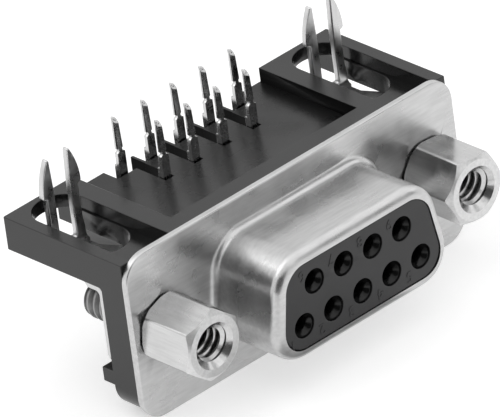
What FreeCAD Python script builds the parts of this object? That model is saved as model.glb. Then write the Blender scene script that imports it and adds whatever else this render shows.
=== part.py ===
import FreeCAD, Part
import math
import os
from FreeCAD import Vector

# Nine-way right-angle D-sub socket with board locks and jackscrews, in millimetres.
# X runs along the flange and -Y points out of the mating face.
# +Z points at the circuit board, so the solder tails stand up.
# The origin is the middle of the flange's front face.

# Contact grid, the same on the mating face and on the board
contact_pitch = 2.77
row_spacing = 2.84
long_row_count = 5
short_row_count = 4
flange_to_short_row = 8.08

# Circuit board
board_seat_height = 5.9
board_thickness = 1.6
tail_above_seat = 3.54

# Front shell, drawn from one sheet
flange_end_past_screw = 3.0
flange_height = 12.78
flange_drop = 0.115
flange_corner_radius = 2.0
flange_edge_radius = 0.18
shell_sheet = 0.45
skirt_height = 7.90
skirt_width_at_middle = 15.90
skirt_side_angle = 10
skirt_corner_radius = 2.6
skirt_depth = 6.1
skirt_root_radius = 0.85
skirt_lip_radius = 0.78
skirt_inner_chamfer = 0.2
skirt_back_chamfer = 0.76

# Jackscrews
screw_spacing = 24.99
screw_hole_clearance = 0.105
thread_major_diameter = 2.84
thread_minor_diameter = 2.26
hex_across_flats = 4.72
hex_length = 4.72
hex_front_chamfer = 0.40
hex_front_face_diameter = 4.45
hex_seat_diameter = 4.4
hex_seat_height = 0.1
socket_thread_depth = 4.0
socket_countersink_diameter = 3.3
drill_point_angle = 118
stud_length = 7.0
stud_end_chamfer = 0.35
left_hex_turn = 21
right_hex_turn = 55

# Insulators
fit_clearance = 0.05
insulator_face_setback = 0.05
insulator_edge_chamfer = 0.05
body_edge_chamfer = 0.3
insulator_flange_overhang = 1.2
insulator_flange_thickness = 1.15
rear_block_inset = 0.9
rear_block_length = 3.0
entry_diameter = 1.15
entry_funnel_diameter = 1.82
entry_rim_depth = 0.16
entry_funnel_depth = 0.42
entry_wall = 1.4

# Bracket
plate_thickness = 2.35
plate_end_past_screw = 2.91
plate_bottom_inset = 0.22
front_strip_thickness = 1.95
wing_rear = 12.05
wing_inner_edge = 8.85
floor_thickness = 1.5
rim_height = 1.05
side_wall_thickness = 1.1
side_wall_below_middle = 2.4
side_wall_rear_chamfer = 2.2
pocket_width = 4.0
pocket_offset_from_screw = 0.1
pocket_rear_wall = 0.55
slot_ledge = 0.15
slot_front = 3.65
ledge_width = 5.8
ledge_depth = 1.05
ledge_height = 1.1
ledge_gap = 0.2
bracket_corner_radius = 0.12

# Comb that guides the tails through the bracket floor
notch_front_gap = 0.32
notch_left_margin = 0.56
notch_right_margin = 0.58
tail_slot_clearance = 0.03
tail_slot_front_gap = 0.2

# Contacts, each rolled and folded from one strip
barrel_outer_diameter = 1.50
barrel_bore_diameter = 1.04
barrel_bore_depth = 5.6
tine_slot_length = 3.2
tine_slot_width = 0.22
strip_thickness = 0.20
leg_width = 0.70
leg_side_step = 0.17
leg_depth = 0.53
leg_web_to_centre = 0.20
ear_top_below_seat = 0.33
shank_depth = 0.33
shoulder_above_seat = 0.75
shoulder_slope = 0.12
neck_width = 0.28
neck_side_step = 0.15
neck_height = 0.22
tail_left = -0.18
tail_foot_width = 0.61
tail_tip_width = 0.48
tail_depth = 0.32
tail_edge_chamfer = 0.07
tail_fold_width = 0.20
tail_fold_depth = 0.10
tail_tip_drop = 0.42
tail_tip_side_drop = 0.35
bend_inner_radius = 0.5

# Board locks, stamped and bent
lock_sheet = 0.5
lock_bend_inner_radius = 0.3
lock_base_width = 5.5
lock_base_below_screw = 2.9
lock_base_corner_radius = 1.0
lock_collar_length = 1.8
lock_collar_wall = 0.66
lock_shoulder_reach = 1.6
lock_taper_reach = 2.9
lock_neck_width = 2.5
lock_fork_plane = 9.1
lock_fork_width = 3.1
lock_gap = 1.46
lock_crotch_radius = 0.2
lock_shank_width = 0.72
lock_barb_half_width = 1.75
lock_barb_height = 0.55
lock_barb_drop = 0.12
lock_tip_offset = 0.98
lock_tip_radius = 0.14
lock_length_past_board = 2.9
lock_flank_bulge = 0.12

# Places that several pieces share
shell_back = shell_sheet
plate_back = shell_back + plate_thickness
insulator_back = shell_back + insulator_flange_thickness
floor_top = board_seat_height - rim_height
floor_bottom = floor_top - floor_thickness
flange_top = flange_height / 2 - flange_drop
flange_bottom = -flange_height / 2 - flange_drop
plate_bottom = flange_bottom + plate_bottom_inset
screw_x = screw_spacing / 2
flange_half_width = screw_x + flange_end_past_screw
plate_half_width = screw_x + plate_end_past_screw
pocket_x = screw_x - pocket_offset_from_screw
long_row_z = -row_spacing / 2
short_row_z = row_spacing / 2
long_row_y = flange_to_short_row + row_spacing
short_row_y = flange_to_short_row
entry_front = -(skirt_depth - insulator_face_setback)
barrel_front = entry_front + entry_wall
skirt_lean = skirt_height / 2 * math.tan(math.radians(skirt_side_angle))
overcut = 1.0
far = 50.0


def front_point(a, b, y):
    """A point of an outline that faces along Y."""
    return Vector(a, y, b)


def top_point(a, b, z):
    """A point of an outline that faces along Z."""
    return Vector(a, b, z)


def side_point(a, b, x):
    """A point of an outline that faces along X."""
    return Vector(x, a, b)


def corner_arc(before, corner, after, radius):
    """The start, middle and end of the arc that rounds one corner."""
    back = (before - corner).normalize()
    ahead = (after - corner).normalize()
    half = back.getAngle(ahead) / 2
    start = corner + back * (radius / math.tan(half))
    end = corner + ahead * (radius / math.tan(half))
    inward = (back + ahead).normalize()
    middle = corner + inward * (radius / math.sin(half) - radius)
    return start, middle, end


def outline(points, place, level, radii=0.0):
    """A closed face through the points, with every corner rounded by its radius."""
    corners = [place(a, b, level) for a, b in points]
    count = len(corners)
    if isinstance(radii, (int, float)):
        radii = [radii] * count
    edges = []
    ends = []
    for i, corner in enumerate(corners):
        if radii[i] > 0:
            start, middle, end = corner_arc(corners[i - 1], corner, corners[(i + 1) % count], radii[i])
            edges.append(Part.Arc(start, middle, end).toShape())
        else:
            start, end = corner, corner
            edges.append(None)
        ends.append((start, end))
    path = []
    for i in range(count):
        if edges[i]:
            path.append(edges[i])
        leave = ends[i][1]
        reach = ends[(i + 1) % count][0]
        if leave.distanceToPoint(reach) > 1e-6:
            path.append(Part.LineSegment(leave, reach).toShape())
    return Part.Face(Part.Wire(Part.__sortEdges__(path)))


def front_prism(points, start, end, radii=0.0):
    """A solid with an X-Z outline, from one Y to another."""
    return outline(points, front_point, start, radii).extrude(Vector(0, end - start, 0))


def top_prism(points, start, end, radii=0.0):
    """A solid with an X-Y outline, from one Z to another."""
    return outline(points, top_point, start, radii).extrude(Vector(0, 0, end - start))


def side_prism(points, start, end, radii=0.0):
    """A solid with a Y-Z outline, from one X to another."""
    return outline(points, side_point, start, radii).extrude(Vector(end - start, 0, 0))


def block(low, high):
    """A rectangular solid between two corners."""
    size = Vector(*high) - Vector(*low)
    return Part.makeBox(size.x, size.y, size.z, Vector(*low))


def rectangle(half_width, low, high):
    """The corners of a rectangle that is centred across."""
    return [(-half_width, low), (half_width, low), (half_width, high), (-half_width, high)]


def rod(diameter, start, end, x=0.0, z=0.0):
    """A round bar along Y."""
    return Part.makeCylinder(diameter / 2, end - start, Vector(x, start, z), Vector(0, 1, 0))


def cone(start_diameter, end_diameter, start, end, x=0.0, z=0.0):
    """A tapered bar along Y."""
    foot = Vector(x, start, z)
    return Part.makeCone(start_diameter / 2, end_diameter / 2, end - start, foot, Vector(0, 1, 0))


def skirt_solid(offset, start, end):
    """A solid with the D outline, grown outwards from the skirt's outside by the offset."""
    slope = math.radians(skirt_side_angle)
    half_height = skirt_height / 2 + offset
    middle = skirt_width_at_middle / 2 + offset / math.cos(slope)
    lean = half_height * math.tan(slope)
    corners = [(-middle - lean, -half_height), (middle + lean, -half_height),
               (middle - lean, half_height), (-middle + lean, half_height)]
    return front_prism(corners, start, end, skirt_corner_radius + offset)


def edges_at_y(shape, y, inside=None):
    """The edges that lie in one Y plane, and within a half-width and half-height if given."""
    found = []
    for edge in shape.Edges:
        box = edge.BoundBox
        flat = abs(box.YMin - y) < 1e-4 and abs(box.YMax - y) < 1e-4
        near = inside is None or (max(abs(box.XMin), abs(box.XMax)) < inside[0]
                                  and max(abs(box.ZMin), abs(box.ZMax)) < inside[1])
        if flat and near:
            found.append(edge)
    return found


def mirrored(shape):
    """The same piece on the other side of the middle."""
    return shape.mirror(Vector(0, 0, 0), Vector(1, 0, 0))


def contact_places():
    """Each contact's number with the X, Z of its socket and the Y of its tail."""
    places = []
    for i in range(long_row_count):
        x = (i - (long_row_count - 1) / 2) * contact_pitch
        places.append((i + 1, x, long_row_z, long_row_y))
    for i in range(short_row_count):
        x = (i - (short_row_count - 1) / 2) * contact_pitch
        places.append((long_row_count + i + 1, x, short_row_z, short_row_y))
    return places


def make_front_shell():
    """Flange and D skirt drawn from one sheet, with a lip curled in round the insulator."""
    flange = rectangle(flange_half_width, flange_bottom, flange_top)
    flange = front_prism(flange, 0, shell_back, flange_corner_radius)
    flange = flange.makeFillet(flange_edge_radius, edges_at_y(flange, 0))
    skirt = skirt_solid(0, -skirt_depth, shell_back)
    skirt = skirt.makeFillet(skirt_lip_radius, edges_at_y(skirt, -skirt_depth))
    shell = flange.fuse(skirt).removeSplitter()
    half_width = skirt_width_at_middle / 2 + skirt_lean
    root_reach = (half_width + skirt_root_radius, skirt_height / 2 + skirt_root_radius)
    shell = shell.makeFillet(skirt_root_radius, edges_at_y(shell, 0, root_reach))
    cavity_front = -(skirt_depth - shell_sheet)
    cavity = skirt_solid(-shell_sheet, cavity_front, shell_back)
    cavity = cavity.makeChamfer(skirt_inner_chamfer, edges_at_y(cavity, cavity_front))
    shell = shell.cut(cavity)
    shell = shell.makeChamfer(skirt_back_chamfer, edges_at_y(shell, shell_back, root_reach))
    shell = shell.cut(skirt_solid(-skirt_lip_radius, -far, 0))
    for x in (-screw_x, screw_x):
        shell = shell.cut(rod(thread_major_diameter + 2 * screw_hole_clearance, -far, far, x))
    return shell


def make_front_insulator():
    """Moulded block inside the skirt, with a funnel and a cavity for every contact."""
    nose = skirt_solid(-(skirt_lip_radius + fit_clearance), entry_front, 0)
    nose = nose.makeChamfer(insulator_edge_chamfer, edges_at_y(nose, entry_front))
    body_front = -(skirt_depth - shell_sheet - fit_clearance)
    body = skirt_solid(-(shell_sheet + fit_clearance), body_front, insulator_back)
    body = body.makeChamfer(body_edge_chamfer, edges_at_y(body, body_front))
    flange = skirt_solid(insulator_flange_overhang, shell_back, insulator_back)
    insulator = body.fuse(nose).fuse(flange).removeSplitter()
    cavity_diameter = barrel_outer_diameter + 2 * fit_clearance
    for number, x, z, tail_y in contact_places():
        rim_end = entry_front + entry_rim_depth
        end = rim_end + entry_funnel_depth
        insulator = insulator.cut(rod(entry_funnel_diameter, entry_front, rim_end, x, z))
        insulator = insulator.cut(cone(entry_funnel_diameter, entry_diameter, rim_end, end, x, z))
        insulator = insulator.cut(rod(entry_diameter, entry_front, barrel_front, x, z))
        insulator = insulator.cut(rod(cavity_diameter, barrel_front, insulator_back, x, z))
    return insulator


def make_rear_insulator():
    """Moulded block behind the contacts' barrels, with a square hole for every leg."""
    end = insulator_back + rear_block_length
    back_block = skirt_solid(-rear_block_inset, insulator_back, end)
    back_block = back_block.makeChamfer(insulator_edge_chamfer, edges_at_y(back_block, end))
    half = leg_width / 2 + fit_clearance
    for number, socket_x, z, tail_y in contact_places():
        x = socket_x + leg_side_step
        top = z + leg_web_to_centre + fit_clearance
        bottom = z + leg_web_to_centre - leg_depth - fit_clearance
        back_block = back_block.cut(block((x - half, insulator_back, bottom), (x + half, end, top)))
    return back_block


def pocket_tools():
    """The recess and the slot open to the rear that one board lock stands in, on the right-hand wing."""
    half = pocket_width / 2
    left, right = pocket_x - half, pocket_x + half
    rear = wing_rear - pocket_rear_wall
    recess = [(left, shell_back), (right, shell_back), (right, rear), (left, rear)]
    recess = top_prism(recess, floor_top, far, [0, 0, half, half])
    half_slot = half - slot_ledge
    left, right = pocket_x - half_slot, pocket_x + half_slot
    rear = wing_rear + overcut
    slot = [(left, slot_front), (right, slot_front), (right, rear), (left, rear)]
    slot = top_prism(slot, floor_bottom - overcut, floor_top, [half_slot, half_slot, 0, 0])
    return [recess, slot]


def comb_tools():
    """Notches open to the rear, each with a slot that leads on to a short-row tail."""
    tools = []
    half = leg_width / 2 + tail_slot_clearance
    notch_front = long_row_y - notch_front_gap
    low, high = floor_bottom - overcut, board_seat_height + overcut
    for i in range(long_row_count):
        x = (i - (long_row_count - 1) / 2) * contact_pitch
        right = x + notch_left_margin
        if i < short_row_count:
            short_x = x + contact_pitch / 2
            right = short_x + notch_right_margin
            front = short_row_y - leg_web_to_centre - tail_slot_front_gap
            leg_x = short_x + leg_side_step
            tools.append(block((leg_x - half, front, low), (leg_x + half, notch_front, high)))
        tools.append(block((x - notch_left_margin, notch_front, low), (right, wing_rear + overcut, high)))
    return tools


def make_bracket_body():
    """Plate behind the flange, floor over the contacts, raised wings and side walls."""
    plate = rectangle(plate_half_width, plate_bottom, flange_top)
    plate = front_prism(plate, shell_back, plate_back, flange_corner_radius)
    plate = plate.common(block((-far, 0, -far), (far, far, board_seat_height)))
    floor = top_prism(rectangle(plate_half_width, shell_back, wing_rear), floor_bottom, board_seat_height,
                      [0, 0, bracket_corner_radius, bracket_corner_radius])
    body = plate.fuse(floor)
    body = body.cut(block((-wing_inner_edge, shell_back + front_strip_thickness, floor_top),
                          (wing_inner_edge, far, far)))
    wall_bottom = -side_wall_below_middle
    wall = [(plate_back - overcut, wall_bottom), (wing_rear - side_wall_rear_chamfer, wall_bottom),
            (wing_rear, wall_bottom + side_wall_rear_chamfer), (wing_rear, floor_bottom + overcut),
            (plate_back - overcut, floor_bottom + overcut)]
    side_wall = side_prism(wall, wing_inner_edge - side_wall_thickness, wing_inner_edge)
    ledge_top = -lock_base_below_screw - ledge_gap
    ledge = block((plate_half_width - ledge_width, plate_back - overcut, ledge_top - ledge_height),
                  (plate_half_width, plate_back + ledge_depth, ledge_top))
    for piece in (side_wall, ledge):
        body = body.fuse(piece).fuse(mirrored(piece))
    return body.removeSplitter()


def make_bracket():
    """The moulded bracket, opened for the insulators, the screws, the locks and the tails."""
    bracket = make_bracket_body()
    for tool in pocket_tools():
        bracket = bracket.cut(tool).cut(mirrored(tool))
    for tool in comb_tools():
        bracket = bracket.cut(tool)
    seat = insulator_flange_overhang + fit_clearance
    bracket = bracket.cut(skirt_solid(seat, shell_back, insulator_back))
    bracket = bracket.cut(skirt_solid(fit_clearance - rear_block_inset, shell_back, plate_back + overcut))
    collar_hole = thread_major_diameter + 2 * (lock_collar_wall + 2 * fit_clearance)
    for x in (-screw_x, screw_x):
        bracket = bracket.cut(rod(collar_hole, shell_back, plate_back, x))
    return bracket.removeSplitter()


def leg_section(depth):
    """The folded strip seen from above: a web in front and a fold on each side, about the tail."""
    half = leg_width / 2
    inner = half - strip_thickness
    front = -leg_web_to_centre
    web = front + strip_thickness
    return [(-half, front), (half, front), (half, front + depth), (inner, front + depth),
            (inner, web), (-inner, web), (-inner, front + depth), (-half, front + depth)]


def make_leg(socket_x, z, tail_y):
    """The folded strip that leaves the barrel, bends up and passes through the bracket."""
    x = socket_x + leg_side_step
    centre_y = tail_y - leg_web_to_centre - bend_inner_radius
    centre_z = z + leg_web_to_centre + bend_inner_radius
    section = [(x + a, tail_y + b) for a, b in leg_section(leg_depth)]
    ear_top = board_seat_height - ear_top_below_seat
    upright = top_prism(section, centre_z, ear_top)
    bend = outline(section, top_point, centre_z)
    bend = bend.revolve(Vector(x, centre_y, centre_z), Vector(1, 0, 0), -90)
    flat = outline([(x + a, z - b) for a, b in leg_section(leg_depth)], front_point, centre_y)
    run = flat.extrude(Vector(0, insulator_back - leg_depth - centre_y, 0))
    return run.fuse(bend).fuse(upright)


def eased_rectangle(left, right, front, back, ease):
    """The corners of a rectangle with each corner cut off by a small flat."""
    return [(left + ease, front), (right - ease, front), (right, front + ease), (right, back - ease),
            (right - ease, back), (left + ease, back), (left, back - ease), (left, front + ease)]


def make_tail(socket_x, tail_y):
    """The shank above the bracket, its neck and the folded, tapered tail that is soldered."""
    x = socket_x + leg_side_step
    front = tail_y - leg_web_to_centre
    back = front + tail_depth
    ear_top = board_seat_height - ear_top_below_seat
    shoulder = board_seat_height + shoulder_above_seat
    foot = shoulder + neck_height
    tip = board_seat_height + tail_above_seat
    left, right = x - leg_width / 2, x + leg_width / 2
    neck_x = socket_x + neck_side_step
    neck_left, neck_right = neck_x - neck_width / 2, neck_x + neck_width / 2
    shank = [(left, ear_top), (right, ear_top), (right, shoulder - shoulder_slope), (neck_right, shoulder),
             (neck_left, shoulder), (left, shoulder - shoulder_slope)]
    shank = front_prism(shank, front, front + shank_depth)
    neck = block((neck_left, front, shoulder), (neck_right, back, foot))
    tail_x = socket_x + tail_left
    wide = eased_rectangle(tail_x, tail_x + tail_foot_width, front, back, tail_edge_chamfer)
    narrow = eased_rectangle(tail_x, tail_x + tail_tip_width, front, back, tail_edge_chamfer)
    ends = [outline(wide, top_point, foot).OuterWire, outline(narrow, top_point, tip).OuterWire]
    tail = Part.makeLoft(ends, True, True)
    slant = [(front, tip - tail_tip_drop), (back, tip), (back, tip + overcut), (front, tip + overcut)]
    slant = outline(slant, side_point, tail_x)
    tail = tail.cut(slant.extrude(Vector(tail_foot_width, 0, -tail_tip_side_drop)))
    fold_x = tail_x + (tail_tip_width - tail_fold_width) / 2
    fold_front = front + (tail_depth - tail_fold_depth) / 2
    tail = tail.cut(block((fold_x, fold_front, foot + neck_height),
                          (fold_x + tail_fold_width, fold_front + tail_fold_depth, tip)))
    return shank.fuse(neck).fuse(tail)


def make_contact(x, z, tail_y):
    """Socket barrel with two tines, a folded leg and a solder tail, from one strip."""
    barrel = rod(barrel_outer_diameter, barrel_front, insulator_back, x, z)
    bore_end = barrel_front + barrel_bore_depth
    barrel = barrel.cut(rod(barrel_bore_diameter, barrel_front, bore_end, x, z))
    reach = barrel_outer_diameter
    half = tine_slot_width / 2
    barrel = barrel.cut(block((x - reach, barrel_front, z - half),
                              (x + reach, barrel_front + tine_slot_length, z + half)))
    return barrel.fuse(make_leg(x, z, tail_y)).fuse(make_tail(x, tail_y)).removeSplitter()


def lock_strip(half_width):
    """The bent sheet before its outline is cut: down the plate, under the wing and up the slot."""
    back = plate_back
    under = floor_bottom
    outer = lock_bend_inner_radius + lock_sheet
    inner = lock_bend_inner_radius
    low = -lock_base_below_screw
    tip = board_seat_height + board_thickness + lock_length_past_board
    fork_front = lock_fork_plane - lock_sheet / 2
    fork_back = lock_fork_plane + lock_sheet / 2
    points = [(back, low), (back, under), (fork_front, under), (fork_front, tip),
              (fork_back, tip), (fork_back, under - lock_sheet), (back + lock_sheet, under - lock_sheet),
              (back + lock_sheet, low)]
    radii = [0, outer, inner, 0, 0, outer, inner, 0]
    return side_prism(points, screw_x - half_width, screw_x + half_width, radii)


def prong_edges(side):
    """The outline of one barbed prong and its half of the root, seen from the front."""
    root_bottom = floor_bottom - lock_sheet
    root = lock_fork_width / 2
    gap = lock_gap / 2
    shank = gap + lock_shank_width
    barb = lock_barb_half_width
    barb_bottom = board_seat_height + board_thickness
    barb_top = barb_bottom + lock_barb_height
    tip = barb_bottom + lock_length_past_board
    tip_start = tip - lock_tip_radius
    tip_outer = lock_tip_offset + lock_tip_radius
    tip_inner = lock_tip_offset - lock_tip_radius
    crotch = floor_bottom + lock_bend_inner_radius
    corner = lock_crotch_radius
    ease = corner * (1 - math.sqrt(0.5))

    def at(a, b):
        return Vector(screw_x + side * a, 0, b)

    corners = [at(0, root_bottom), at(root, root_bottom), at(root, floor_top - lock_shank_width),
               at(shank, floor_top), at(shank, barb_bottom), at(barb, barb_bottom + lock_barb_drop),
               at(barb, barb_top)]
    edges = [Part.LineSegment(a, b).toShape() for a, b in zip(corners, corners[1:])]
    flank_middle = at((barb + tip_outer) / 2 + lock_flank_bulge, (barb_top + tip_start) / 2)
    edges.append(Part.Arc(at(barb, barb_top), flank_middle, at(tip_outer, tip_start)).toShape())
    nose = Part.Arc(at(tip_outer, tip_start), at(lock_tip_offset, tip), at(tip_inner, tip_start))
    edges.append(nose.toShape())
    edges.append(Part.LineSegment(at(tip_inner, tip_start), at(gap, barb_top)).toShape())
    edges.append(Part.LineSegment(at(gap, barb_top), at(gap, crotch + corner)).toShape())
    edges.append(Part.Arc(at(gap, crotch + corner), at(gap - ease, crotch + ease),
                          at(gap - corner, crotch)).toShape())
    edges.append(Part.LineSegment(at(gap - corner, crotch), at(0, crotch)).toShape())
    return edges


def fork_outline():
    """Two barbed prongs on one root, seen from the front."""
    edges = prong_edges(-1) + prong_edges(1)
    return Part.Face(Part.Wire(Part.__sortEdges__(edges)))


def make_board_lock():
    """Base plate with a tapped collar, a tongue under the wing and a barbed fork, all one sheet."""
    strip = lock_strip(lock_base_width / 2)
    low = -lock_base_below_screw
    shoulder = plate_back + lock_shoulder_reach
    half = lock_base_width / 2
    left, right = screw_x - half, screw_x + half
    base_zone = [(left, low), (right, low), (right, far), (left, far)]
    corner = lock_base_corner_radius
    base_zone = front_prism(base_zone, plate_back, shoulder, [corner, corner, 0, 0])
    neck = lock_neck_width / 2
    fork_half = lock_fork_width / 2
    neck_start = shoulder + lock_taper_reach
    fork_start = lock_fork_plane - lock_sheet / 2 - lock_bend_inner_radius
    neck_end = fork_start - (fork_half - neck)
    side = [(half, shoulder), (neck, neck_start), (neck, neck_end), (fork_half, fork_start)]
    tongue = [(screw_x + a, b) for a, b in side] + [(screw_x - a, b) for a, b in reversed(side)]
    tongue_zone = top_prism(tongue, low, floor_bottom)
    fork_zone = fork_outline()
    fork_zone.translate(Vector(0, fork_start, 0))
    fork_zone = fork_zone.extrude(Vector(0, lock_bend_inner_radius + 2 * lock_sheet, 0))
    lock = strip.common(base_zone).fuse(strip.common(tongue_zone)).fuse(strip.common(fork_zone))
    collar_outer = thread_major_diameter + 2 * (lock_collar_wall + fit_clearance)
    collar_front = plate_back - lock_collar_length
    lock = lock.fuse(rod(collar_outer, collar_front, plate_back + lock_sheet, screw_x))
    tapping = rod(thread_major_diameter + 2 * fit_clearance, collar_front, plate_back + lock_sheet, screw_x)
    lock = lock.cut(tapping)
    return lock.removeSplitter()


def make_jackscrew(x, turn):
    """Hexagonal post with a tapped socket in front and a threaded stud behind, turned from bar."""
    corner_radius = hex_across_flats / math.sqrt(3)
    angles = [math.radians(turn + 60 * i) for i in range(6)]
    points = [(x + corner_radius * math.cos(a), corner_radius * math.sin(a)) for a in angles]
    corners = corner_radius * 2
    post = front_prism(points, -hex_length, -hex_seat_height)
    front_end = -hex_length + hex_front_chamfer
    turned = cone(hex_front_face_diameter, corners, -hex_length, front_end, x)
    turned = turned.fuse(rod(corners + overcut, front_end, 0, x))
    post = post.common(turned)
    seat = rod(hex_seat_diameter, -hex_seat_height, 0, x)
    stud = rod(thread_major_diameter, -hex_seat_height, stud_length, x)
    stud = stud.makeChamfer(stud_end_chamfer, edges_at_y(stud, stud_length))
    screw = post.fuse(seat).fuse(stud)
    thread_end = -hex_length + socket_thread_depth
    screw = screw.cut(rod(thread_minor_diameter, -hex_length, thread_end, x))
    point = thread_minor_diameter / 2 / math.tan(math.radians(drill_point_angle / 2))
    screw = screw.cut(cone(thread_minor_diameter, 0, thread_end, thread_end + point, x))
    sink = (socket_countersink_diameter - thread_minor_diameter) / 2
    screw = screw.cut(cone(socket_countersink_diameter, thread_minor_diameter, -hex_length,
                           -hex_length + sink, x))
    return screw.removeSplitter()


def save(name, shape):
    """One STEP file for each piece."""
    solids = shape.Solids
    piece = solids[0] if len(solids) == 1 else Part.makeCompound(solids)
    piece.exportStep("parts/" + name + ".step")
    print(name, "solids", len(solids), "valid", piece.isValid(), "volume", round(piece.Volume, 3))


os.makedirs("parts", exist_ok=True)
save("front_shell", make_front_shell())
save("front_insulator", make_front_insulator())
save("rear_insulator", make_rear_insulator())
save("bracket", make_bracket())
for number, x, z, tail_y in contact_places():
    save("contact_" + str(number), make_contact(x, z, tail_y))
right_lock = make_board_lock()
save("board_lock_right", right_lock)
save("board_lock_left", mirrored(right_lock))
save("jackscrew_left", make_jackscrew(-screw_x, left_hex_turn))
save("jackscrew_right", make_jackscrew(screw_x, right_hex_turn))
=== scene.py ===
import math

import bmesh
import bpy
from mathutils import Matrix, Vector


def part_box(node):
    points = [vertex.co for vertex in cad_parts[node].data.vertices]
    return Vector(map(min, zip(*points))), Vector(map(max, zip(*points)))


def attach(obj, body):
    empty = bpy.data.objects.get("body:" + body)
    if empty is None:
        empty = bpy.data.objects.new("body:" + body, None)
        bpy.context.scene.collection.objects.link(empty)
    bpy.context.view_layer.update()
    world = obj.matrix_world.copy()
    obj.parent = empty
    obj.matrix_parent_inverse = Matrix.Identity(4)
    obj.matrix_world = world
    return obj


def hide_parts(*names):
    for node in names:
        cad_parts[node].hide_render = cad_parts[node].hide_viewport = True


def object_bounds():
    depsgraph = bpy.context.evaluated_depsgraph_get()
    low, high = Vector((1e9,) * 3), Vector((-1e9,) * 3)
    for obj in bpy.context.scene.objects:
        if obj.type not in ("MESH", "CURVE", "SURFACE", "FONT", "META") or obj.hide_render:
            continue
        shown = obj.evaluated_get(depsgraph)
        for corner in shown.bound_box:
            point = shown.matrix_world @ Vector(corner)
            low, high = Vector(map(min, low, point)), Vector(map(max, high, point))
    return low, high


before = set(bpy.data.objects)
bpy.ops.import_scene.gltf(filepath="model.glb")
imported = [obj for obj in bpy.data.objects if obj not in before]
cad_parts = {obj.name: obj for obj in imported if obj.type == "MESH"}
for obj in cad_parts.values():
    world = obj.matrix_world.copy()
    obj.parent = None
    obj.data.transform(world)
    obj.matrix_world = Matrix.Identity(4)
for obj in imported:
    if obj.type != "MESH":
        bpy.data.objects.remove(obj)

cad_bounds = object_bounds()


# Moulded bracket
# One moulding in black glass-filled polyester that carries every other piece of the connector.
# The mould leaves broken edges and a fine spark texture on all its faces.
metre = 1000.0  # sizes are in millimetres until a piece is finished
weld_distance = 0.0005
flat_angle = math.radians(0.5)
same_place = 1e-5
bracket_edge = 0.05
sharp_from = math.radians(30)
platform_half_width = 8.9
platform_above = 3.0
faces_up = 0.9
grain_size = 0.16
grain_depth = 0.005
gloss_patch_scale = 400.0
gloss_patch_share = 0.15
plastic_colour = (0.007, 0.007, 0.007, 1)
painted_shade_wall_colour = (0.005, 0.005, 0.005, 1)
mask_low = 0.35
mask_high = 0.65


def shader_group(name, inputs, outputs):
    """An empty node group with float inputs, a stretch for its pattern and the named outputs."""
    group = bpy.data.node_groups.new(name, "ShaderNodeTree")
    for label, value in inputs.items():
        socket = group.interface.new_socket(label, in_out="INPUT", socket_type="NodeSocketFloat")
        socket.default_value = value
    stretch = group.interface.new_socket("Stretch", in_out="INPUT", socket_type="NodeSocketVector")
    stretch.default_value = (1, 1, 1)
    for label, kind in outputs.items():
        group.interface.new_socket(label, in_out="OUTPUT", socket_type=kind)
    return group, group.nodes.new("NodeGroupInput"), group.nodes.new("NodeGroupOutput")


def surface_relief():
    """Fine relief with a slow unevenness over it, as a height and as a mask."""
    group, given, made = shader_group(
        "surface_relief",
        {"Scale": 6000.0, "Slow Scale": 300.0, "Slow Share": 0.5},
        {"Height": "NodeSocketFloat", "Mask": "NodeSocketFloat"})
    nodes, links = group.nodes, group.links
    place = nodes.new("ShaderNodeTexCoord")
    fine = nodes.new("ShaderNodeTexNoise")
    fine.inputs["Detail"].default_value = 2.0
    slow = nodes.new("ShaderNodeTexNoise")
    slow.inputs["Detail"].default_value = 3.0
    drawn = nodes.new("ShaderNodeVectorMath")
    drawn.operation = "MULTIPLY"
    links.new(place.outputs["Object"], drawn.inputs[0])
    links.new(given.outputs["Stretch"], drawn.inputs[1])
    links.new(drawn.outputs["Vector"], fine.inputs["Vector"])
    links.new(place.outputs["Object"], slow.inputs["Vector"])
    links.new(given.outputs["Scale"], fine.inputs["Scale"])
    links.new(given.outputs["Slow Scale"], slow.inputs["Scale"])
    blend = nodes.new("ShaderNodeMix")
    links.new(given.outputs["Slow Share"], blend.inputs["Factor"])
    links.new(fine.outputs["Fac"], blend.inputs["A"])
    links.new(slow.outputs["Fac"], blend.inputs["B"])
    links.new(blend.outputs["Result"], made.inputs["Height"])
    links.new(slow.outputs["Fac"], made.inputs["Mask"])
    return group


relief = surface_relief()


def base_material(name, colour, metallic):
    """A new material with its Principled shader ready to take colour, roughness and bump."""
    material = bpy.data.materials.new(name)
    material.use_nodes = True
    shader = material.node_tree.nodes["Principled BSDF"]
    shader.inputs["Base Color"].default_value = colour
    shader.inputs["Metallic"].default_value = metallic
    return material, shader


def add_relief(material, shader, fine_scale, slow_scale, slow_share, depth, rough_low, rough_high,
               stretch=(1, 1, 1)):
    """Gives a shader the shared relief as bump, its depth in millimetres, and as uneven gloss."""
    nodes, links = material.node_tree.nodes, material.node_tree.links
    grain = nodes.new("ShaderNodeGroup")
    grain.node_tree = relief
    grain.inputs["Scale"].default_value = fine_scale
    grain.inputs["Slow Scale"].default_value = slow_scale
    grain.inputs["Slow Share"].default_value = slow_share
    grain.inputs["Stretch"].default_value = stretch
    bump = nodes.new("ShaderNodeBump")
    bump.inputs["Distance"].default_value = depth / metre
    links.new(grain.outputs["Height"], bump.inputs["Height"])
    links.new(bump.outputs["Normal"], shader.inputs["Normal"])
    rough = nodes.new("ShaderNodeMapRange")
    rough.interpolation_type = "SMOOTHSTEP"
    rough.inputs["From Min"].default_value = mask_low
    rough.inputs["From Max"].default_value = mask_high
    rough.inputs["To Min"].default_value = rough_low
    rough.inputs["To Max"].default_value = rough_high
    links.new(grain.outputs["Mask"], rough.inputs["Value"])
    links.new(rough.outputs["Result"], shader.inputs["Roughness"])
    return grain


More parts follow.
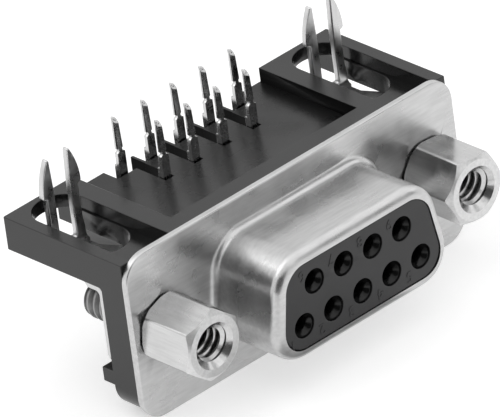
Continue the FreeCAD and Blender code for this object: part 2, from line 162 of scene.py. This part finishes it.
def moulded_plastic(name, colour, rough_low, rough_high, shine):
    """Black engineering plastic with the spark texture of its mould."""
    material, shader = base_material(name, colour, 0.0)
    shader.inputs["Specular IOR Level"].default_value = shine
    add_relief(material, shader, metre / grain_size, gloss_patch_scale, gloss_patch_share, grain_depth,
               rough_low, rough_high)
    return material


def joined_mesh(*node_names):
    """The loose triangles of CAD nodes as one joined bmesh in millimetres, with its flat faces whole."""
    bm = bmesh.new()
    for node_name in node_names:
        bm.from_mesh(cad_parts[node_name].data)
    bmesh.ops.scale(bm, vec=(metre, metre, metre), verts=bm.verts)
    bmesh.ops.remove_doubles(bm, verts=bm.verts, dist=weld_distance)
    bmesh.ops.dissolve_limit(bm, angle_limit=flat_angle, verts=bm.verts, edges=bm.edges)
    return bm


def round_off(bm, geometry, radius, segments, affect="EDGES", clamp=False):
    """Rounds the edges or the corners that are given."""
    bmesh.ops.bevel(bm, geom=geometry, offset=radius, offset_type="OFFSET", segments=segments,
                    profile=0.5, affect=affect, clamp_overlap=clamp, material=-1)


def break_edges(bm, radius, segments):
    """Rounds every outer edge that isn't nearly flat."""
    sharp = [e for e in bm.edges if e.is_convex and e.calc_face_angle(0) > sharp_from]
    round_off(bm, sharp, radius, segments)


def finished_piece(bm, name, materials, slot, *nodes, sharp_angle=50):
    """Makes the object of a mesh in millimetres, smooth between sharp edges, in the nodes' place."""
    bmesh.ops.scale(bm, vec=(1 / metre, 1 / metre, 1 / metre), verts=bm.verts)
    mesh = bpy.data.meshes.new(name)
    bm.to_mesh(mesh)
    bm.free()
    for material in materials:
        mesh.materials.append(material)
    mesh.shade_smooth()
    mesh.set_sharp_from_angle(angle=math.radians(sharp_angle))
    piece = bpy.data.objects.new(name, mesh)
    bpy.context.scene.collection.objects.link(piece)
    weighted = piece.modifiers.new("weighted_normals", "WEIGHTED_NORMAL")
    weighted.keep_sharp = True
    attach(piece, "root")
    if nodes:
        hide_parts(*nodes)
    return piece


bracket_plastic = moulded_plastic("bracket_plastic", plastic_colour, rough_low=0.19, rough_high=0.27,
                                  shine=0.50)
dull_plastic = moulded_plastic("dull_plastic", plastic_colour, rough_low=0.23, rough_high=0.31, shine=0.34)
# Walls down to the platform take a darker copy with almost no sheen: painted shade where they stand in shade,
# on a slightly smoother finish.
smooth_painted_shade_plastic = moulded_plastic("smooth_painted_shade_plastic", painted_shade_wall_colour, rough_low=0.17, rough_high=0.25, shine=0.02)
bm = joined_mesh("bracket")
break_edges(bm, bracket_edge, segments=2)
# Up-facing faces in the platform get the duller gloss, and its walls get the painted shade copy.
for face in bm.faces:
    if all(abs(v.co.x) < platform_half_width and v.co.z > platform_above for v in face.verts):
        face.material_index = 1 if face.normal.z > faces_up else 2
finished_piece(bm, "moulded_bracket", [bracket_plastic, dull_plastic, smooth_painted_shade_plastic], "bracket", "bracket")


# Rear insulator
# The same black polyester, pressed up behind the contacts' barrels so that they can't back out.
# It is seen only from below and behind, between the bracket's side walls.
rear_edge = 0.04
bm = joined_mesh("rear_insulator")
break_edges(bm, rear_edge, segments=2)
finished_piece(bm, "rear_insulator_block", [bracket_plastic], "insulator", "rear_insulator")


# Contacts
# Each is stamped from copper alloy strip, rolled to a barrel, folded to a leg and tin plated.
# They are pushed in from behind before the bracket goes on, and the comb guides their tails.
contact_edge = 0.03
contact_pitch = 2.77
row_offset = 1.42
bore_radius = 0.53
bore_end = 1.0
wide_row_middle = 3
narrow_row_middle = 7.5
socket_places = [((number - wide_row_middle) * contact_pitch, -row_offset) for number in range(1, 6)]
socket_places += [((number - narrow_row_middle) * contact_pitch, row_offset) for number in range(6, 10)]
tin_colour = (0.79, 0.79, 0.79, 1)
painted_shade_bore_colour = (0.07, 0.07, 0.07, 1)
tint_depth = 0.55


def plated_metal(name, colour, fine_scale, slow_scale, slow_share, depth, rough_low, rough_high,
                 stretch=(1, 1, 1), metallic=1.0):
    """Plated metal with the fine relief, the drawing streaks and the uneven gloss of its base."""
    material, shader = base_material(name, colour, metallic)
    grain = add_relief(material, shader, fine_scale, slow_scale, slow_share, depth,
                       rough_low, rough_high, stretch)
    nodes, links = material.node_tree.nodes, material.node_tree.links
    tint = nodes.new("ShaderNodeMix")
    tint.data_type = "RGBA"
    tint.inputs["A"].default_value = tuple(c * tint_depth for c in colour[:3]) + (1,)
    tint.inputs["B"].default_value = colour
    links.new(grain.outputs["Height"], tint.inputs["Factor"])
    links.new(tint.outputs["Result"], shader.inputs["Base Color"])
    return material


contact_tin = plated_metal("contact_tin", tin_colour, fine_scale=6000.0, slow_scale=1500.0, slow_share=0.5,
                           depth=0.004, rough_low=0.18, rough_high=0.28, stretch=(1, 1, 0.1))
# Inside each bore the barrel's end takes a dark grey copy of the tin: painted shade for the shade deep in the
# bore.
painted_shade_bore_metal = plated_metal("painted_shade_bore_metal", painted_shade_bore_colour, fine_scale=6000.0, slow_scale=1500.0, slow_share=0.5,
                          depth=0.002, rough_low=0.45, rough_high=0.60)
for number, (x, z) in enumerate(socket_places, start=1):
    node_name = "contact_" + str(number)
    bm = joined_mesh(node_name)
    break_edges(bm, contact_edge, segments=2)
    # Faces inside the bore get the painted shade copy.
    for face in bm.faces:
        if all(math.hypot(v.co.x - x, v.co.z - z) < bore_radius and v.co.y < bore_end
               for v in face.verts):
            face.material_index = 1
    finished_piece(bm, "socket_" + node_name, [contact_tin, painted_shade_bore_metal], "contact", node_name)


# Board locks
# A base plate with a tapped collar, a tongue and a barbed fork, stamped and bent from one tinned strip.
# The jackscrew's stud draws the collar up inside the bracket, and the fork stands through the wing.
lock_edge = 0.10
lock_tin = plated_metal("lock_tin", tin_colour, fine_scale=4000.0, slow_scale=900.0, slow_share=0.5,
                        depth=0.010, rough_low=0.26, rough_high=0.38, stretch=(1, 1, 0.15))
for side in ("left", "right"):
    node_name = "board_lock_" + side
    bm = joined_mesh(node_name)
    break_edges(bm, lock_edge, segments=3)
    finished_piece(bm, "forked_" + node_name, [lock_tin], "board_lock", node_name)


# Front insulator
# The visible half of the insulator, black polyester, with a funnel ahead of every contact.
# It is dropped into the shell from behind, and its flange is clamped by the bracket.
nose_edge = 0.03
rim_depth = 0.16
bowl_round = 0.13
funnel_radius = 0.95
face_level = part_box("front_insulator")[0].y * metre
face_colour = (0.052, 0.052, 0.053, 1)
funnel_painted_shade_colour = (0.004, 0.004, 0.004, 1)
insulator_plastic = moulded_plastic("insulator_plastic", face_colour, rough_low=0.39, rough_high=0.47,
                                    shine=0.32)
# The funnels take a near black copy of the face's plastic: less rough because they are polished, and darker
# as painted shade in the funnels.
polished_funnel_painted_shade = moulded_plastic("polished_funnel_painted_shade", funnel_painted_shade_colour, rough_low=0.17, rough_high=0.25, shine=0.30)
bm = joined_mesh("front_insulator")
bowl_level = face_level + rim_depth
bowl_edges = [e for e in bm.edges if all(abs(v.co.y - bowl_level) < same_place for v in e.verts)]
round_off(bm, bowl_edges, bowl_round, segments=4, clamp=True)
break_edges(bm, nose_edge, segments=2)
# Faces inside the funnels get the polished, painted shade copy.
for face in bm.faces:
    middle = face.calc_center_median()
    in_funnel = any(math.hypot(middle.x - x, middle.z - z) < funnel_radius for x, z in socket_places)
    if middle.y > face_level + nose_edge and in_funnel:
        face.material_index = 1
finished_piece(bm, "funnelled_insulator", [insulator_plastic, polished_funnel_painted_shade], "insulator",
               "front_insulator")


# Contact numbers
# Small raised figures that are moulded with the insulator's face, one beside each funnel.
# They stand upright when the circuit board is below, so they are upside down here.
figure_size = 1.15
figure_rise = 0.04
outline_weld = 0.001
wide_row_shift = Vector((-1.27, 0, -0.95))
narrow_row_shift = Vector((-1.09, 0, 0.90))


def raised_figure(text, place):
    """The closed mesh of one figure, with its place already in it."""
    curve = bpy.data.curves.new("figure", "FONT")
    curve.body = text
    curve.size = figure_size
    curve.extrude = figure_rise / 2
    curve.resolution_u = 3
    curve.align_x = "CENTER"
    curve.align_y = "CENTER"
    letter = bpy.data.objects.new("figure", curve)
    bpy.context.scene.collection.objects.link(letter)
    bpy.context.view_layer.update()
    flat = bpy.data.meshes.new_from_object(letter)
    bpy.data.objects.remove(letter)
    bm = bmesh.new()
    bm.from_mesh(flat)
    bmesh.ops.remove_doubles(bm, verts=bm.verts, dist=outline_weld)
    bmesh.ops.recalc_face_normals(bm, faces=bm.faces)
    turned_over = Matrix.Rotation(math.radians(180), 4, "Y") @ Matrix.Rotation(math.radians(90), 4, "X")
    bmesh.ops.transform(bm, matrix=Matrix.Translation(place) @ turned_over, verts=bm.verts)
    bm.to_mesh(flat)
    bm.free()
    return flat


bm = bmesh.new()
for number, (x, z) in enumerate(socket_places, start=1):
    shift = wide_row_shift if z < 0 else narrow_row_shift
    bm.from_mesh(raised_figure(str(number), Vector((x, face_level - figure_rise / 2, z)) + shift))
finished_piece(bm, "contact_numbers", [insulator_plastic], "insulator")


# Front shell
# Flange and D skirt are deep drawn from one steel sheet, so the bends are round and the lip curls in.
# It is bright tin plated, and the jackscrews clamp it to the bracket.
shell_low, shell_high = [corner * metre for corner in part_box("front_shell")]
screw_low, screw_high = [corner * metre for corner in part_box("jackscrew_right")]
shell_sheet = 0.45
skirt_height = 7.90
skirt_middle_width = 15.90
skirt_angle = math.radians(10)
skirt_corner = 2.6
root_radius = 0.55
lip_radius = 0.78
flange_corner = 2.0
flange_edge = 0.13
rim_from_middle = 4.9
screw_hole_radius = 1.525
screw_hole_steps = 48
shell_colour = (0.72, 0.72, 0.72, 1)
corner_steps = 14
bend_steps = 10
screw_x = (screw_low.x + screw_high.x) / 2
skirt_depth = -shell_low.y


def ring_of_points(bm, corners, y, radii, steps):
    """A closed ring of edges in one Y plane, each corner rounded by its radius."""
    verts = [bm.verts.new((x, y, z)) for x, z in corners]
    bm.faces.new(verts)
    count = len(corners)
    reach = []
    for i, corner in enumerate(corners):
        back = Vector(corners[i - 1]) - Vector(corner)
        ahead = Vector(corners[(i + 1) % count]) - Vector(corner)
        reach.append(radii[i] / math.tan(back.angle(ahead) / 2))
    for size in sorted(set(round(r, 5) for r in reach)):
        corner_verts = [v for v, r in zip(verts, reach) if abs(r - size) < same_place]
        round_off(bm, corner_verts, size, steps, affect="VERTICES")
    ring = [f for f in bm.faces if f.is_valid and abs(f.calc_center_median().y - y) < same_place][-1]
    edges = list(ring.edges)
    bmesh.ops.delete(bm, geom=[ring], context="FACES_ONLY")
    return edges


def skirt_corners(grow):
    """The corners of the D, grown outwards from the skirt's outside."""
    half_height = skirt_height / 2 + grow
    middle = skirt_middle_width / 2 + grow / math.cos(skirt_angle)
    lean = half_height * math.tan(skirt_angle)
    return [(-middle - lean, -half_height), (middle + lean, -half_height),
            (middle - lean, half_height), (-middle + lean, half_height)]


bm = bmesh.new()
flange_corners = [(shell_low.x, shell_low.z), (shell_high.x, shell_low.z),
                  (shell_high.x, shell_high.z), (shell_low.x, shell_high.z)]
outer_ring = ring_of_points(bm, flange_corners, 0.0, [flange_corner] * 4, corner_steps)
root_ring = ring_of_points(bm, skirt_corners(root_radius), 0.0, [skirt_corner + root_radius] * 4,
                           corner_steps)
flange_edges = outer_ring + root_ring
for x in (-screw_x, screw_x):
    turn = Matrix.Translation((x, 0, 0)) @ Matrix.Rotation(math.radians(90), 4, "X")
    hole = bmesh.ops.create_circle(bm, cap_ends=False, segments=screw_hole_steps, radius=screw_hole_radius,
                                   matrix=turn)
    flange_edges += list({e for v in hole["verts"] for e in v.link_edges})
bmesh.ops.triangle_fill(bm, use_beauty=True, use_dissolve=False, edges=flange_edges)
cap = bmesh.ops.contextual_create(bm, geom=root_ring)["faces"]


def press_in(bm, faces, inwards, forwards):
    """Draws the cap inwards and forwards by one step and leaves a band behind it."""
    if faces[0].normal.y > 0:
        bmesh.ops.reverse_faces(bm, faces=faces)
    bmesh.ops.inset_individual(bm, faces=faces, thickness=inwards, depth=forwards, use_even_offset=True)


def arc_steps(radius, steps):
    """The share of a quarter turn's two legs that each step covers."""
    turns = [math.pi / 2 * i / steps for i in range(steps + 1)]
    return [(radius * (math.sin(b) - math.sin(a)), radius * (math.cos(a) - math.cos(b)))
            for a, b in zip(turns, turns[1:])]


bm.normal_update()
for along, away in arc_steps(root_radius, bend_steps):
    press_in(bm, cap, along, away)
press_in(bm, cap, 0.0, skirt_depth - root_radius - lip_radius)
for along, away in arc_steps(lip_radius, bend_steps):
    press_in(bm, cap, away, along)
bmesh.ops.delete(bm, geom=cap, context="FACES")
bmesh.ops.recalc_face_normals(bm, faces=bm.faces)
if max(bm.faces, key=lambda f: f.calc_area()).normal.y > 0:
    bmesh.ops.reverse_faces(bm, faces=bm.faces)
bmesh.ops.solidify(bm, geom=list(bm.faces), thickness=-shell_sheet)
bmesh.ops.reverse_faces(bm, faces=bm.faces)
bm.normal_update()
rim_edges = []
for edge in bm.edges:
    first = edge.verts[0].co
    in_front = all(abs(v.co.y) < same_place for v in edge.verts)
    on_rim = abs(first.x) > shell_high.x - flange_corner or abs(first.z) > rim_from_middle
    if in_front and on_rim and edge.calc_face_angle(0) > sharp_from:
        rim_edges.append(edge)
round_off(bm, rim_edges, flange_edge, segments=4)
shell_plate = plated_metal("shell_plate", shell_colour, fine_scale=3500.0, slow_scale=350.0, slow_share=0.35,
                           depth=0.005, rough_low=0.25, rough_high=0.37, stretch=(0.15, 1, 1))
finished_piece(bm, "drawn_shell", [shell_plate], "plated_shell", "front_shell")


# Jackscrews
# Plated hexagonal steel bar, turned at both ends: a tapped socket in front, a threaded stud behind.
# The stud clamps the flange and the bracket, and it screws into the board lock's collar.
across_flats = 4.72
corner_round = 0.14
corner_from_flat = 30
left_turn = 21
right_turn = 55
post_length = -screw_low.y
seat_height = 0.13
seat_radius = 2.05
face_radius = 2.225
chamfer_depth = 0.40
rear_radius = 2.44
rear_chamfer_depth = 0.28
minor_radius = 1.13
major_radius = 1.42
thread_pitch = 0.635
flank_angle = math.radians(30)
spare_turns = 3
countersink_radius = 1.70
tapped_depth = 4.0
stud_length = screw_high.y
stud_chamfer = 0.35
round_steps = 64
turn_weld = 0.002
past_corners = 1.2
past_thread = 1.1
faces_front = 0.9
leans_front = 0.2
screw_colour = (0.75, 0.75, 0.75, 1)
turned_colour = (0.90, 0.90, 0.90, 1)
painted_shade_stud_colour = (0.40, 0.40, 0.40, 1)


def turned(profile):
    """A closed turned solid about the local Z axis from its (radius, height) profile."""
    bm = bmesh.new()
    verts = [bm.verts.new((radius, 0, height)) for radius, height in profile]
    edges = [bm.edges.new(pair) for pair in zip(verts, verts[1:])]
    bmesh.ops.spin(bm, geom=verts + edges, cent=(0, 0, 0), axis=(0, 0, 1), angle=2 * math.pi,
                   steps=round_steps, use_merge=True)
    bmesh.ops.remove_doubles(bm, verts=bm.verts, dist=same_place)
    bmesh.ops.recalc_face_normals(bm, faces=bm.faces)
    return bm


def threaded_rod(low, high):
    """A closed rod about the local Z axis with a 60 degree thread cut between two heights."""
    bm = bmesh.new()
    flank = (major_radius - minor_radius) * math.tan(flank_angle)
    flat = (thread_pitch - 2 * flank) / 2
    turns = int((high - low) / thread_pitch) + spare_turns
    verts = []
    for i in range(turns):
        foot = low - thread_pitch + i * thread_pitch
        for radius, rise in ((minor_radius, 0), (minor_radius, flat), (major_radius, flat + flank),
                             (major_radius, 2 * flat + flank)):
            verts.append(bm.verts.new((radius, 0, foot + rise)))
    edges = [bm.edges.new(pair) for pair in zip(verts, verts[1:])]
    bmesh.ops.spin(bm, geom=verts + edges, cent=(0, 0, 0), axis=(0, 0, 1), angle=2 * math.pi,
                   steps=round_steps, dvec=(0, 0, thread_pitch / round_steps), use_merge=False)
    bmesh.ops.remove_doubles(bm, verts=bm.verts, dist=turn_weld)
    for height, keep_above in ((low, True), (high, False)):
        geometry = list(bm.verts) + list(bm.edges) + list(bm.faces)
        bmesh.ops.bisect_plane(bm, geom=geometry, dist=same_place, plane_co=(0, 0, height),
                               plane_no=(0, 0, 1), clear_inner=keep_above, clear_outer=not keep_above)
        rim = [e for e in bm.edges if e.is_boundary
               and all(abs(v.co.z - height) < same_place for v in e.verts)]
        bmesh.ops.contextual_create(bm, geom=rim)
    bmesh.ops.recalc_face_normals(bm, faces=bm.faces)
    return bm


def loose_object(bm, name):
    """A helper object that holds a closed mesh for the next cut."""
    mesh = bpy.data.meshes.new(name)
    bm.to_mesh(mesh)
    bm.free()
    made = bpy.data.objects.new(name, mesh)
    bpy.context.scene.collection.objects.link(made)
    return made


def machine(blank, tool_bm, operation):
    """Cuts, trims or joins the blank with a tool, which is then gone."""
    tool = loose_object(tool_bm, "tool")
    step = blank.modifiers.new("step", "BOOLEAN")
    step.operation = operation
    step.solver = "EXACT"
    step.object = tool
    bpy.context.view_layer.update()
    graph = bpy.context.evaluated_depsgraph_get()
    mesh = bpy.data.meshes.new_from_object(blank.evaluated_get(graph))
    blank.modifiers.clear()
    blank.data = mesh
    bpy.data.objects.remove(tool)


def jackscrew(turn):
    """One jackscrew about the local Z axis, with the front of its post at the top."""
    hexagon = bmesh.new()
    corner_radius = across_flats / math.sqrt(3)
    place = (Matrix.Translation((0, 0, seat_height))
             @ Matrix.Rotation(math.radians(turn - corner_from_flat), 4, "Z"))
    bmesh.ops.create_circle(hexagon, cap_ends=True, segments=6, radius=corner_radius, matrix=place)
    grown = bmesh.ops.extrude_face_region(hexagon, geom=list(hexagon.faces))
    top = [g for g in grown["geom"] if isinstance(g, bmesh.types.BMVert)]
    bmesh.ops.translate(hexagon, verts=top, vec=(0, 0, post_length - seat_height))
    long_edges = [e for e in hexagon.edges if abs(e.verts[0].co.z - e.verts[1].co.z) > seat_height]
    round_off(hexagon, long_edges, corner_round, segments=3)
    bmesh.ops.recalc_face_normals(hexagon, faces=hexagon.faces)
    post = loose_object(hexagon, "post")
    outside = corner_radius * past_corners
    chamfer_rise = chamfer_depth * (outside - face_radius) / (corner_radius - face_radius)
    rear_rise = rear_chamfer_depth * (outside - rear_radius) / (corner_radius - rear_radius)
    envelope = turned([(0, 0), (rear_radius, 0), (rear_radius, seat_height),
                       (outside, seat_height + rear_rise), (outside, post_length - chamfer_rise),
                       (face_radius, post_length), (0, post_length)])
    machine(post, envelope, "INTERSECT")
    seat = turned([(0, 0), (seat_radius, 0), (seat_radius, 2 * seat_height), (0, 2 * seat_height)])
    machine(post, seat, "UNION")
    machine(post, threaded_rod(post_length - tapped_depth, post_length + thread_pitch), "DIFFERENCE")
    sink = countersink_radius - minor_radius
    countersink = turned([(0, post_length - countersink_radius),
                          (countersink_radius + sink, post_length + sink), (0, post_length + sink)])
    machine(post, countersink, "DIFFERENCE")
    stud = loose_object(threaded_rod(-stud_length, seat_height), "stud")
    end_radius = major_radius - stud_chamfer
    beside = major_radius * past_thread
    pointed = turned([(0, -stud_length), (end_radius, -stud_length),
                      (major_radius, stud_chamfer - stud_length),
                      (beside, 0), (beside, outside), (0, outside)])
    machine(stud, pointed, "INTERSECT")
    bm = bmesh.new()
    bm.from_mesh(post.data)
    bm.from_mesh(stud.data)
    bpy.data.objects.remove(post)
    bpy.data.objects.remove(stud)
    return bm


screw_plate = plated_metal("screw_plate", screw_colour, fine_scale=4000.0, slow_scale=500.0, slow_share=0.4,
                           depth=0.005, rough_low=0.18, rough_high=0.28, stretch=(1, 0.1, 1))
turned_plate = plated_metal("turned_plate", turned_colour, fine_scale=5000.0, slow_scale=700.0,
                            slow_share=0.3, depth=0.008, rough_low=0.34, rough_high=0.48, metallic=0.8)
# The stud and the floor of the tapped socket take a dark grey copy of the plating: painted shade where they
# lie in shade.
painted_shade_stud_plate = plated_metal("painted_shade_stud_plate", painted_shade_stud_colour, fine_scale=5000.0, slow_scale=700.0, slow_share=0.3,
                          depth=0.004, rough_low=0.35, rough_high=0.50)
for side, x, turn in (("left", -screw_x, left_turn), ("right", screw_x, right_turn)):
    bm = jackscrew(turn)
    stand = Matrix.Translation((x, 0, 0)) @ Matrix.Rotation(math.radians(90), 4, "X")
    bmesh.ops.transform(bm, matrix=stand, verts=bm.verts)
    for face in bm.faces:
        middle = face.calc_center_median()
        from_axis = math.hypot(middle.x - x, middle.z)
        # Stud and socket floor get the painted shade copy, and the turned front faces get the turned finish.
        if middle.y > 0 or (from_axis < minor_radius and face.normal.y < -faces_front):
            face.material_index = 2
        elif face.normal.y < -leans_front and from_axis > countersink_radius:
            face.material_index = 1
    finished_piece(bm, "hex_jackscrew_" + side, [screw_plate, turned_plate, painted_shade_stud_plate], "jackscrew",
                   "jackscrew_" + side, sharp_angle=35)


# Studio
# A pale floor under large soft lights, white all round, with grey cards that only reflections see.
# The camera stands where the photograph was taken from, far off with a long lens.
floor_half = 3.0  # metres from here on
floor_colour = (0.85, 0.85, 0.85, 1)
floor_lift = 0.50
fill_strength = 0.55
seen_strength = 1.0
card_rise = 0.00005
camera_azimuth = math.radians(-40.26)
camera_elevation = math.radians(29.75)
camera_roll = math.radians(-7.78)
camera_distance = 0.900
camera_right = -0.0032886
camera_up = 0.0026153
camera_lens = 955.0
sensor_width = 36.0


def white_to_the_eye(nodes, links):
    """A mask that is 1 where the camera, a reflection or a clear piece looks straight at the surface."""
    path = nodes.new("ShaderNodeLightPath")
    seen_or_mirrored = nodes.new("ShaderNodeMath")
    seen_or_mirrored.operation = "MAXIMUM"
    links.new(path.outputs["Is Camera Ray"], seen_or_mirrored.inputs[0])
    links.new(path.outputs["Is Glossy Ray"], seen_or_mirrored.inputs[1])
    or_through_clear = nodes.new("ShaderNodeMath")
    or_through_clear.operation = "MAXIMUM"
    links.new(seen_or_mirrored.outputs[0], or_through_clear.inputs[0])
    links.new(path.outputs["Is Transmission Ray"], or_through_clear.inputs[1])
    return or_through_clear.outputs[0]


def flat_sheet(name, half_width, half_depth, place):
    """A flat rectangle with its place in its mesh."""
    bm = bmesh.new()
    bmesh.ops.create_grid(bm, x_segments=1, y_segments=1, size=1.0)
    bmesh.ops.scale(bm, vec=(half_width, half_depth, 1), verts=bm.verts)
    bmesh.ops.transform(bm, matrix=place, verts=bm.verts)
    mesh = bpy.data.meshes.new(name)
    bm.to_mesh(mesh)
    bm.free()
    sheet = bpy.data.objects.new(name, mesh)
    bpy.context.scene.collection.objects.link(sheet)
    return sheet


def make_floor():
    """A matte pale floor that keeps the shadow and otherwise looks white."""
    floor = flat_sheet("floor", floor_half, floor_half, Matrix.Translation((0, 0, cad_bounds[0].z)))
    material = bpy.data.materials.new("floor_paper")
    material.use_nodes = True
    nodes, links = material.node_tree.nodes, material.node_tree.links
    nodes.clear()
    paper = nodes.new("ShaderNodeBsdfDiffuse")
    paper.inputs["Color"].default_value = floor_colour
    glow = nodes.new("ShaderNodeEmission")
    glow.inputs["Color"].default_value = (1, 1, 1, 1)
    lift = nodes.new("ShaderNodeMath")
    lift.operation = "MULTIPLY"
    lift.inputs[1].default_value = floor_lift
    links.new(white_to_the_eye(nodes, links), lift.inputs[0])
    links.new(lift.outputs[0], glow.inputs["Strength"])
    both = nodes.new("ShaderNodeAddShader")
    links.new(paper.outputs[0], both.inputs[0])
    links.new(glow.outputs[0], both.inputs[1])
    made = nodes.new("ShaderNodeOutputMaterial")
    links.new(both.outputs[0], made.inputs["Surface"])
    floor.data.materials.append(material)


def grey_card(name, half_width, half_depth, place, shade):
    """A matte card that darkens what the metal reflects and is hidden from every other ray."""
    card = flat_sheet(name, half_width, half_depth, place)
    card.visible_camera = False
    card.visible_diffuse = False
    card.visible_shadow = False
    material, shader = base_material(name + "_paint", (shade, shade, shade, 1), 0.0)
    shader.inputs["Roughness"].default_value = 1.0
    shader.inputs["Specular IOR Level"].default_value = 0.0
    card.data.materials.append(material)


def make_world():
    """White where it is seen or reflected, and a soft fill elsewhere."""
    world = bpy.data.worlds.new("studio")
    bpy.context.scene.world = world
    world.use_nodes = True
    nodes, links = world.node_tree.nodes, world.node_tree.links
    background = nodes["Background"]
    background.inputs["Color"].default_value = (1, 1, 1, 1)
    strength = nodes.new("ShaderNodeMapRange")
    strength.inputs["To Min"].default_value = fill_strength
    strength.inputs["To Max"].default_value = seen_strength
    links.new(white_to_the_eye(nodes, links), strength.inputs["Value"])
    links.new(strength.outputs["Result"], background.inputs["Strength"])


def soft_light(name, direction, distance, size, power):
    """A square lamp that faces the middle of the part."""
    lamp = bpy.data.lights.new(name, "AREA")
    lamp.shape = "SQUARE"
    lamp.size = size
    lamp.energy = power
    made = bpy.data.objects.new(name, lamp)
    bpy.context.scene.collection.objects.link(made)
    away = Vector(direction).normalized()
    made.location = away * distance
    made.rotation_euler = away.to_track_quat("Z", "Y").to_euler()


def upright_card(name, half_width, half_height, turn, ahead, middle_height, shade):
    """A card that stands before the part and faces it, turned about the part's middle."""
    stand = Matrix.Rotation(math.radians(90), 4, "X")
    about = Matrix.Rotation(math.radians(turn), 4, "Z")
    grey_card(name, half_width, half_height,
              about @ Matrix.Translation((0, -ahead, middle_height)) @ stand, shade)


make_floor()
make_world()
card_level = cad_bounds[0].z + card_rise
grey_card("low_card", half_width=0.125, half_depth=0.13,
          place=Matrix.Translation((-0.155, -0.165, card_level)), shade=0.18)
grey_card("near_card", half_width=0.008, half_depth=0.0035,
          place=Matrix.Translation((-0.002, -0.0095, card_level)), shade=0.60)
upright_card("front_card", half_width=0.28, half_height=0.19, turn=-42, ahead=0.45, middle_height=0.19,
             shade=0.12)
upright_card("right_card", half_width=0.16, half_height=0.16, turn=42, ahead=0.45, middle_height=0.24,
             shade=0.65)
soft_light("key_light", direction=(0.50, -0.25, 0.83), distance=0.5, size=0.75, power=0.54)
soft_light("top_light", direction=(-0.5, 0.4, 1.2), distance=0.6, size=0.44, power=0.7)

camera_data = bpy.data.cameras.new("camera")
camera_data.lens = camera_lens
camera_data.sensor_width = sensor_width
camera_data.clip_start = 0.05
camera_data.clip_end = 20.0
camera = bpy.data.objects.new("camera", camera_data)
bpy.context.scene.collection.objects.link(camera)
bpy.context.scene.camera = camera
back = Vector((math.sin(camera_azimuth) * math.cos(camera_elevation),
               -math.cos(camera_azimuth) * math.cos(camera_elevation), math.sin(camera_elevation)))
level_right = Vector((math.cos(camera_azimuth), math.sin(camera_azimuth), 0))
level_up = back.cross(level_right)
right = math.cos(camera_roll) * level_right + math.sin(camera_roll) * level_up
up = -math.sin(camera_roll) * level_right + math.cos(camera_roll) * level_up
camera.rotation_euler = Matrix((right, up, back)).transposed().to_euler()
camera.location = right * camera_right + up * camera_up + back * camera_distance

bpy.context.scene.view_settings.view_transform = "Standard"
